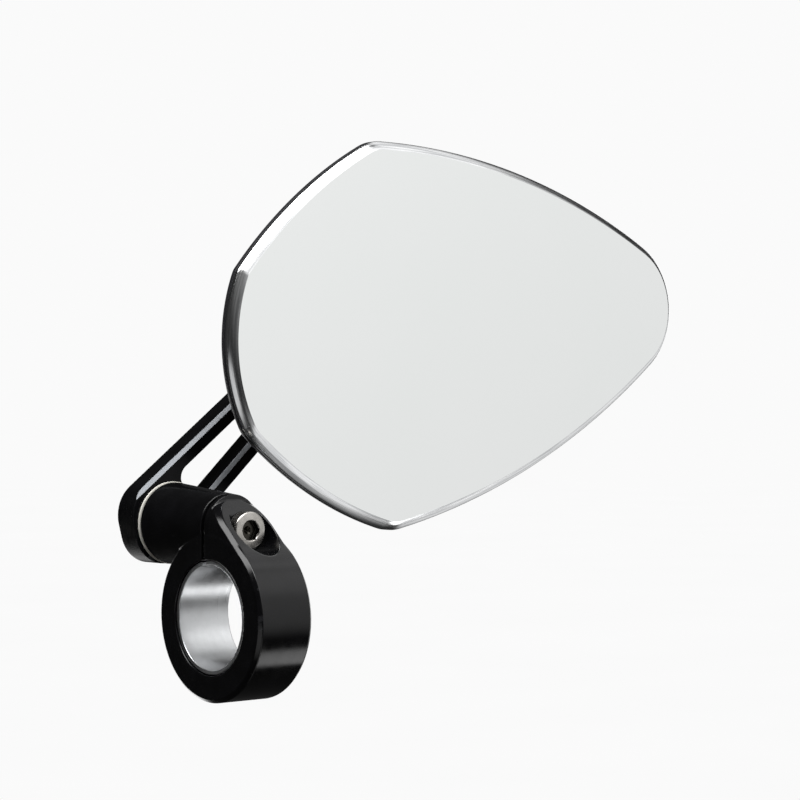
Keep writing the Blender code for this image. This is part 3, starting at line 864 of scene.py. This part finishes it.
def bevel_profile(steps=12):
    """(inset, depth behind the face) along the convex bevel, then round the lip to the side wall."""
    first, last = (math.radians(tilt) for tilt in BEVEL_TILT)
    radius = BEVEL_WIDTH / (math.sin(last) - math.sin(first))
    profile = []
    for i in range(steps + 1):
        tilt = first + (last - first) * i / steps
        inset = BEVEL_WIDTH - radius * (math.sin(tilt) - math.sin(first))
        profile.append((max(inset, 0.0), radius * (math.cos(first) - math.cos(tilt))))
    profile = [(inset, depth) for inset, depth in profile if inset > BEVEL_LIP * 0.6]
    lip_inset, lip_depth = profile[-1]
    wall_depth = BEVEL_DEPTH + 0.12
    for i in range(1, 6):
        left = 1 - i / 5
        profile.append((lip_inset * left ** 2, lip_depth + (wall_depth - lip_depth) * (1 - left ** 1.2)))
    return profile


def make_plate():
    """Mirror plate: flat polished face inside a brushed bevel, plain side wall and back."""
    face_y, back_y = PLATE_LOW.y, PLATE_HIGH.y
    rings = [at_depth(head_outline(BEVEL_WIDTH), face_y)]
    rings += [at_depth(head_outline(inset), face_y + depth) for inset, depth in bevel_profile()]
    rings += [at_depth(head_outline(0.0), back_y - 0.1), at_depth(head_outline(0.1), back_y)]
    points, faces = ring_loft(rings)
    face_slots = [1] * (len(faces) - 2) + [0, 1]
    obj = place_piece("mirror_plate_bright", points, faces, "head", "mirror_plate",
                      [MIRROR, RIM], face_slots=face_slots, sharp=14)
    face_out(obj)
    outline = head_outline(0.0)
    count = len(outline)
    along = [0.0]
    for i in range(1, count):
        along.append(along[-1] + math.dist(outline[i - 1], outline[i]))
    coordinates = obj.data.uv_layers.new(name="rim")
    for loop in obj.data.loops:
        level, step = divmod(loop.vertex_index, count)
        coordinates.data[loop.index].uv = (along[step] * MM, level * 0.2 * MM)
    drill(obj, [((x, 7.0, z), PIN_HOLE_R, 2.0) for x, z in PIN_POINTS], FORWARD)


def make_shell():
    """Back shell: recess for the plate's bond, thin rim, shallow dome that swells into the ball's socket."""
    hub = (BALL.x, BALL.z)
    rings = [at_depth(head_outline(inset), y) for inset, y in SHELL_RIM]
    rim_inset, rim_y = SHELL_RIM[-1]
    rim = head_outline(rim_inset)
    angles = [math.atan2(z - hub[1], x - hub[0]) for x, z in rim]
    foot = circle(hub, SOCKET_OUTER_R + SOCKET_FILLET, 0.0, angles)
    steps = 20
    for i in range(1, steps + 1):
        share = i / steps
        y = rim_y + SHELL_RISE * (1 - (1 - share) ** 1.7)
        rings.append([(x + (foot_x - x) * share, y, z + (foot_z - z) * share)
                      for (x, z), (foot_x, _, foot_z) in zip(rim, foot)])
    for i in range(1, 9):
        turn = math.radians(90 * i / 8)
        radius = SOCKET_OUTER_R + SOCKET_FILLET * (1 - math.sin(turn))
        rings.append(circle(hub, radius, rim_y + SHELL_RISE + SOCKET_FILLET * (1 - math.cos(turn)), angles))
    for radius, rise in ((SOCKET_OUTER_R, -0.2), (SOCKET_OUTER_R - 0.06, -0.06), (SOCKET_OUTER_R - 0.2, 0.0),
                         (SOCKET_R + 0.2, 0.0), (SOCKET_R, -0.15)):
        rings.append(circle(hub, radius, SOCKET_END_Y + rise, angles))
    for i in range(1, 15):
        turn = math.radians(88 * i / 14)
        rings.append(circle(hub, SOCKET_R * math.cos(turn), BALL.y - SOCKET_R * math.sin(turn), angles))
    points, faces = ring_loft(rings)
    obj = place_piece("head_shell_black", points, faces, "head", "head_shell",
                      [SHELL_BLACK], sharp=32)
    face_out(obj)
    holes = [((x, 7.5, z), PIN_HOLE_R, 3.0) for x, z in PIN_POINTS]
    holes += [((x, 13.6, z), RETAINER_HOLE_R, 4.8) for x, z in retainer_spots()]
    drill(obj, holes, FORWARD)
    low, high = node_box("tension_screw")
    way = 1 if low.z > BALL.z else -1
    middle = (BALL.x, (low.y + high.y) / 2, BALL.z + 8.75 * way)
    drill(obj, [(middle, TENSION_HOLE_R, 6.5)], UPRIGHT)


def drill(obj, holes, way):
    """Takes round holes out of a piece: (middle, radius, length) of each, turned from upright by the way."""
    cutter_mesh = bpy.data.meshes.new("drill")
    bm = bmesh.new()
    for middle, radius, length in holes:
        place = Matrix.Translation(Vector(middle) * MM) @ way
        bmesh.ops.create_cone(bm, cap_ends=True, segments=32, radius1=radius * MM, radius2=radius * MM,
                              depth=length * MM, matrix=place)
    bmesh.ops.recalc_face_normals(bm, faces=bm.faces)
    bm.to_mesh(cutter_mesh)
    bm.free()
    cut_with(obj, cutter_mesh)


def cut_with(obj, cutter_mesh):
    """Takes a shape, in the frame's coordinates, out of a piece for good."""
    cutter = bpy.data.objects.new("cutter", cutter_mesh)
    bpy.context.scene.collection.objects.link(cutter)
    modifier = obj.modifiers.new("cut", "BOOLEAN")
    modifier.solver = "EXACT"
    modifier.object = cutter
    graph = bpy.context.evaluated_depsgraph_get()
    result = bpy.data.meshes.new_from_object(obj.evaluated_get(graph))
    obj.modifiers.clear()
    old = obj.data
    obj.data = result
    bpy.data.meshes.remove(old)
    bpy.data.objects.remove(cutter)
    bpy.data.meshes.remove(cutter_mesh)


def circle(centre, radius, y, angles):
    return [(centre[0] + radius * math.cos(a), y, centre[1] + radius * math.sin(a)) for a in angles]


def make_pieces():
    milled("clamp_body_milled", clamp_field, 0.24, "clamp", "clamp_body", CLAMP_BLACK)
    milled("arm_milled", arm_field(), 0.24, "swing_arm", "arm", ARM_BLACK)
    milled("bar_sleeve_split", sleeve_field, 0.25, "clamp", "bar_sleeve", SLEEVE_METAL)
    front = (CLAMP_SCREW.x, SCREW_LOW.y, CLAMP_SCREW.z)
    cap = screw_field(front, CAP_HEAD_R, CAP_HEAD_L, M5_R, SCREW_HIGH.y, M5_KEY, M5_PITCH)
    milled("clamp_screw_cap", cap, 0.12, "clamp", "clamp_screw", SCREW_STEEL)
    low, high = node_box("pivot_screw")
    back = (PIVOT.x, high.y, PIVOT.z)
    cap = screw_field(back, PIVOT_HEAD_R, PIVOT_HEAD_L, M5_R, low.y, M5_KEY, M5_PITCH, -1)
    milled("pivot_screw_cap", cap, 0.14, "clamp", "pivot_screw", STEEL)
    for name in ("retainer_screw_1", "retainer_screw_2", "retainer_screw_3"):
        low, high = node_box(name)
        middle = (low + high) / 2
        back = (middle.x, high.y, middle.z)
        cap = screw_field(back, SMALL_HEAD_R, SMALL_HEAD_L, SMALL_R, low.y, SMALL_KEY, SMALL_PITCH, -1)
        milled(name + "_cap", cap, 0.08, "head", name, STEEL)
    milled("stud_nut_hex", nut_field, 0.12, "ball", "stud_nut", STEEL)
    milled("ball_stud_threaded", stud_field, 0.14, "ball", "ball_stud", STEEL)
    milled("retainer_ring_milled", retainer_field, 0.15, "head", "retainer_ring",
           SHELL_BLACK)
    for name, inner, centre, body, slot, made in (
            ("clamp_washer", 2.7, CLAMP_SCREW, "clamp", "stainless_steel", SHADED_WASHER_STEEL),
            ("friction_washer", WASHER_BORE_R, PIVOT, "clamp", "bearing_polymer", POLYMER),
            ("thrust_washer", WASHER_BORE_R, PIVOT, "clamp", "stainless_steel", STEEL),
            ("pivot_bush", WASHER_BORE_R, PIVOT, "swing_arm", "bronze", BRONZE),
            ("stud_washer", STUD_HOLE_R, BALL, "ball", "stainless_steel", STEEL)):
        low, high = node_box(name)
        outer = (high.x - low.x) / 2
        profile = [(inner, low.y), (outer, low.y), (outer, high.y), (inner, high.y)]
        turned(name + "_turned", profile, centre, body, name, made)
    turned("disc_spring_coned", DISC_SPRING, PIVOT, "clamp", "disc_spring", STEEL)
    inner_r, outer_r = LINER_R
    for half, start, end in LINER_HALVES:
        profile = sphere_path(outer_r, start, end) + sphere_path(inner_r, start, end)[::-1]
        turned(f"liner_{half}_moulded", profile, BALL, "liner", f"liner_{half}", POLYMER,
               0.1)
    make_plate()
    make_shell()


def sphere_path(radius, start, end, steps=16):
    """(radius, y) points on a sphere about the ball's centre, between two distances forward of it."""
    first = math.asin(max(-1.0, start / radius))
    last = math.asin(end / radius)
    angles = [first + (last - first) * i / steps for i in range(steps + 1)]
    return [(max(radius * math.cos(a), 0.0), BALL.y + radius * math.sin(a)) for a in angles]


def carry_over():
    """CAD nodes that stay as they are, with their finish."""
    for name, slot, made in (
            ("adhesive_pad", "bonding_pad", PAD),
            ("tension_screw", "stainless_steel", STEEL),
            ("locating_pin_1", "stainless_steel", STEEL),
            ("locating_pin_2", "stainless_steel", STEEL)):
        obj = frame["nodes"][name]
        obj.data.materials.clear()
        obj.data.materials.append(made)
        bevel = obj.modifiers.new("edge", "BEVEL")
        bevel.width = 0.08 * MM
        bevel.segments = 2
        bevel.limit_method = "ANGLE"


make_pieces()
carry_over()


# ---------------------------------------------------------------- studio

BACKDROP = 0.957
FLOOR_Z = -0.35
FLOOR_R = 12
VIEW_PLACE = (-0.2991, -0.4097, 0.0449)
VIEW_AHEAD = (0.652, 0.758, 0.002)
VIEW_RIGHT = (0.758, -0.652, 0.0)


def make_floor():
    """Wide disc that looks as pale as the backdrop and that no surface reflects."""
    mesh = bpy.data.meshes.new("studio_floor")
    turns = [math.radians(5 * i) for i in range(72)]
    rim = [(FLOOR_R * math.cos(turn), FLOOR_R * math.sin(turn), FLOOR_Z) for turn in turns]
    mesh.from_pydata(rim, [], [tuple(range(72))])
    floor = bpy.data.objects.new("studio_floor", mesh)
    bpy.context.scene.collection.objects.link(floor)
    made = bpy.data.materials.new("pale_floor")
    made.use_nodes = True
    tree = made.node_tree
    tree.nodes.clear()
    grain = noise(tree, node(tree, "TexCoord").outputs["Object"], 3.0)
    tone = ramp(tree, grain, [(0.3, BACKDROP - 0.004), (0.7, BACKDROP + 0.004)])
    glow = node(tree, "Emission", {"Color": tone, "Strength": 1.0})
    tree.links.new(glow.outputs[0], node(tree, "OutputMaterial").inputs["Surface"])
    floor.data.materials.append(made)
    floor.visible_glossy = False
    floor.visible_diffuse = False


# Softboxes and cards of the studio, as the object's surfaces see them: direction, inner and outer
# half-width in degrees, and brightness.
PANELS = [
    ((0.60, -0.72, 0.34), 24, 44, 0.76),
    ((0.62, -0.45, 0.64), 6, 24, 0.45),
    ((0.10, -0.75, 0.65), 16, 30, 0.9),
    ((0.10, -0.75, 0.65), 20, 60, 0.2),
    ((-0.05, -0.40, 0.915), 12, 20, 10.0),
    ((-0.50, -0.05, 0.86), 8, 20, 9.0),
    ((-0.79, -0.49, -0.37), 8, 20, 0.8),
    ((-0.16, -0.84, -0.52), 4, 12, 0.4),
    ((0.15, -0.74, -0.66), 5, 27, 0.95),
    ((0.10, -0.45, -0.89), 8, 28, 0.35),
    ((0.66, -0.40, -0.63), 6, 12, 2.9),
    ((0.93, 0.03, -0.36), 16, 28, 0.85),
    ((0.81, 0.58, 0.10), 8, 17, 1.5),
    ((0.60, 0.02, 0.80), 10, 20, 1.0),
    ((0.10, 0.97, -0.22), 8, 26, 3.4),
]
AMBIENT = 0.035


def make_world():
    """Pale backdrop for the camera, and a dim room with softboxes for everything else."""
    world = bpy.data.worlds.new("studio")
    bpy.context.scene.world = world
    world.use_nodes = True
    tree = world.node_tree
    tree.nodes.clear()
    way = node(tree, "TexCoord").outputs["Generated"]
    total = AMBIENT
    for direction, inner, outer, value in PANELS:
        axis = Vector(direction).normalized()
        dot = node(tree, "VectorMath", {0: way, 1: axis}, operation="DOT_PRODUCT").outputs["Value"]
        span = {"Value": dot, "From Min": math.cos(math.radians(outer)),
                "From Max": math.cos(math.radians(inner)), "To Min": 0.0, "To Max": value}
        share = node(tree, "MapRange", span, interpolation_type="SMOOTHSTEP").outputs[0]
        total = math_node(tree, "ADD", share, total)
    room = node(tree, "Background", {"Color": total})
    backdrop = node(tree, "Background", {"Color": (BACKDROP, BACKDROP, BACKDROP, 1.0)})
    seen = node(tree, "LightPath").outputs["Is Camera Ray"]
    mixed = node(tree, "MixShader", {0: seen, 1: room.outputs[0], 2: backdrop.outputs[0]})
    tree.links.new(mixed.outputs[0], node(tree, "OutputWorld").inputs["Surface"])


def make_camera():
    """Long lens that looks forward and outboard at the object, from the rider's side."""
    camera = bpy.data.cameras.new("photo_view")
    camera.sensor_width = 36
    camera.lens = 108
    camera.clip_start = 0.01
    obj = bpy.data.objects.new("photo_view", camera)
    bpy.context.scene.collection.objects.link(obj)
    ahead = Vector(VIEW_AHEAD).normalized()
    right = Vector(VIEW_RIGHT).normalized()
    up = right.cross(ahead)
    rows = [(right[i], up[i], -ahead[i], VIEW_PLACE[i]) for i in range(3)]
    obj.matrix_world = Matrix(rows + [(0, 0, 0, 1)])
    bpy.context.scene.camera = obj


make_floor()
make_world()
make_camera()
bpy.context.scene.view_settings.view_transform = "Standard"
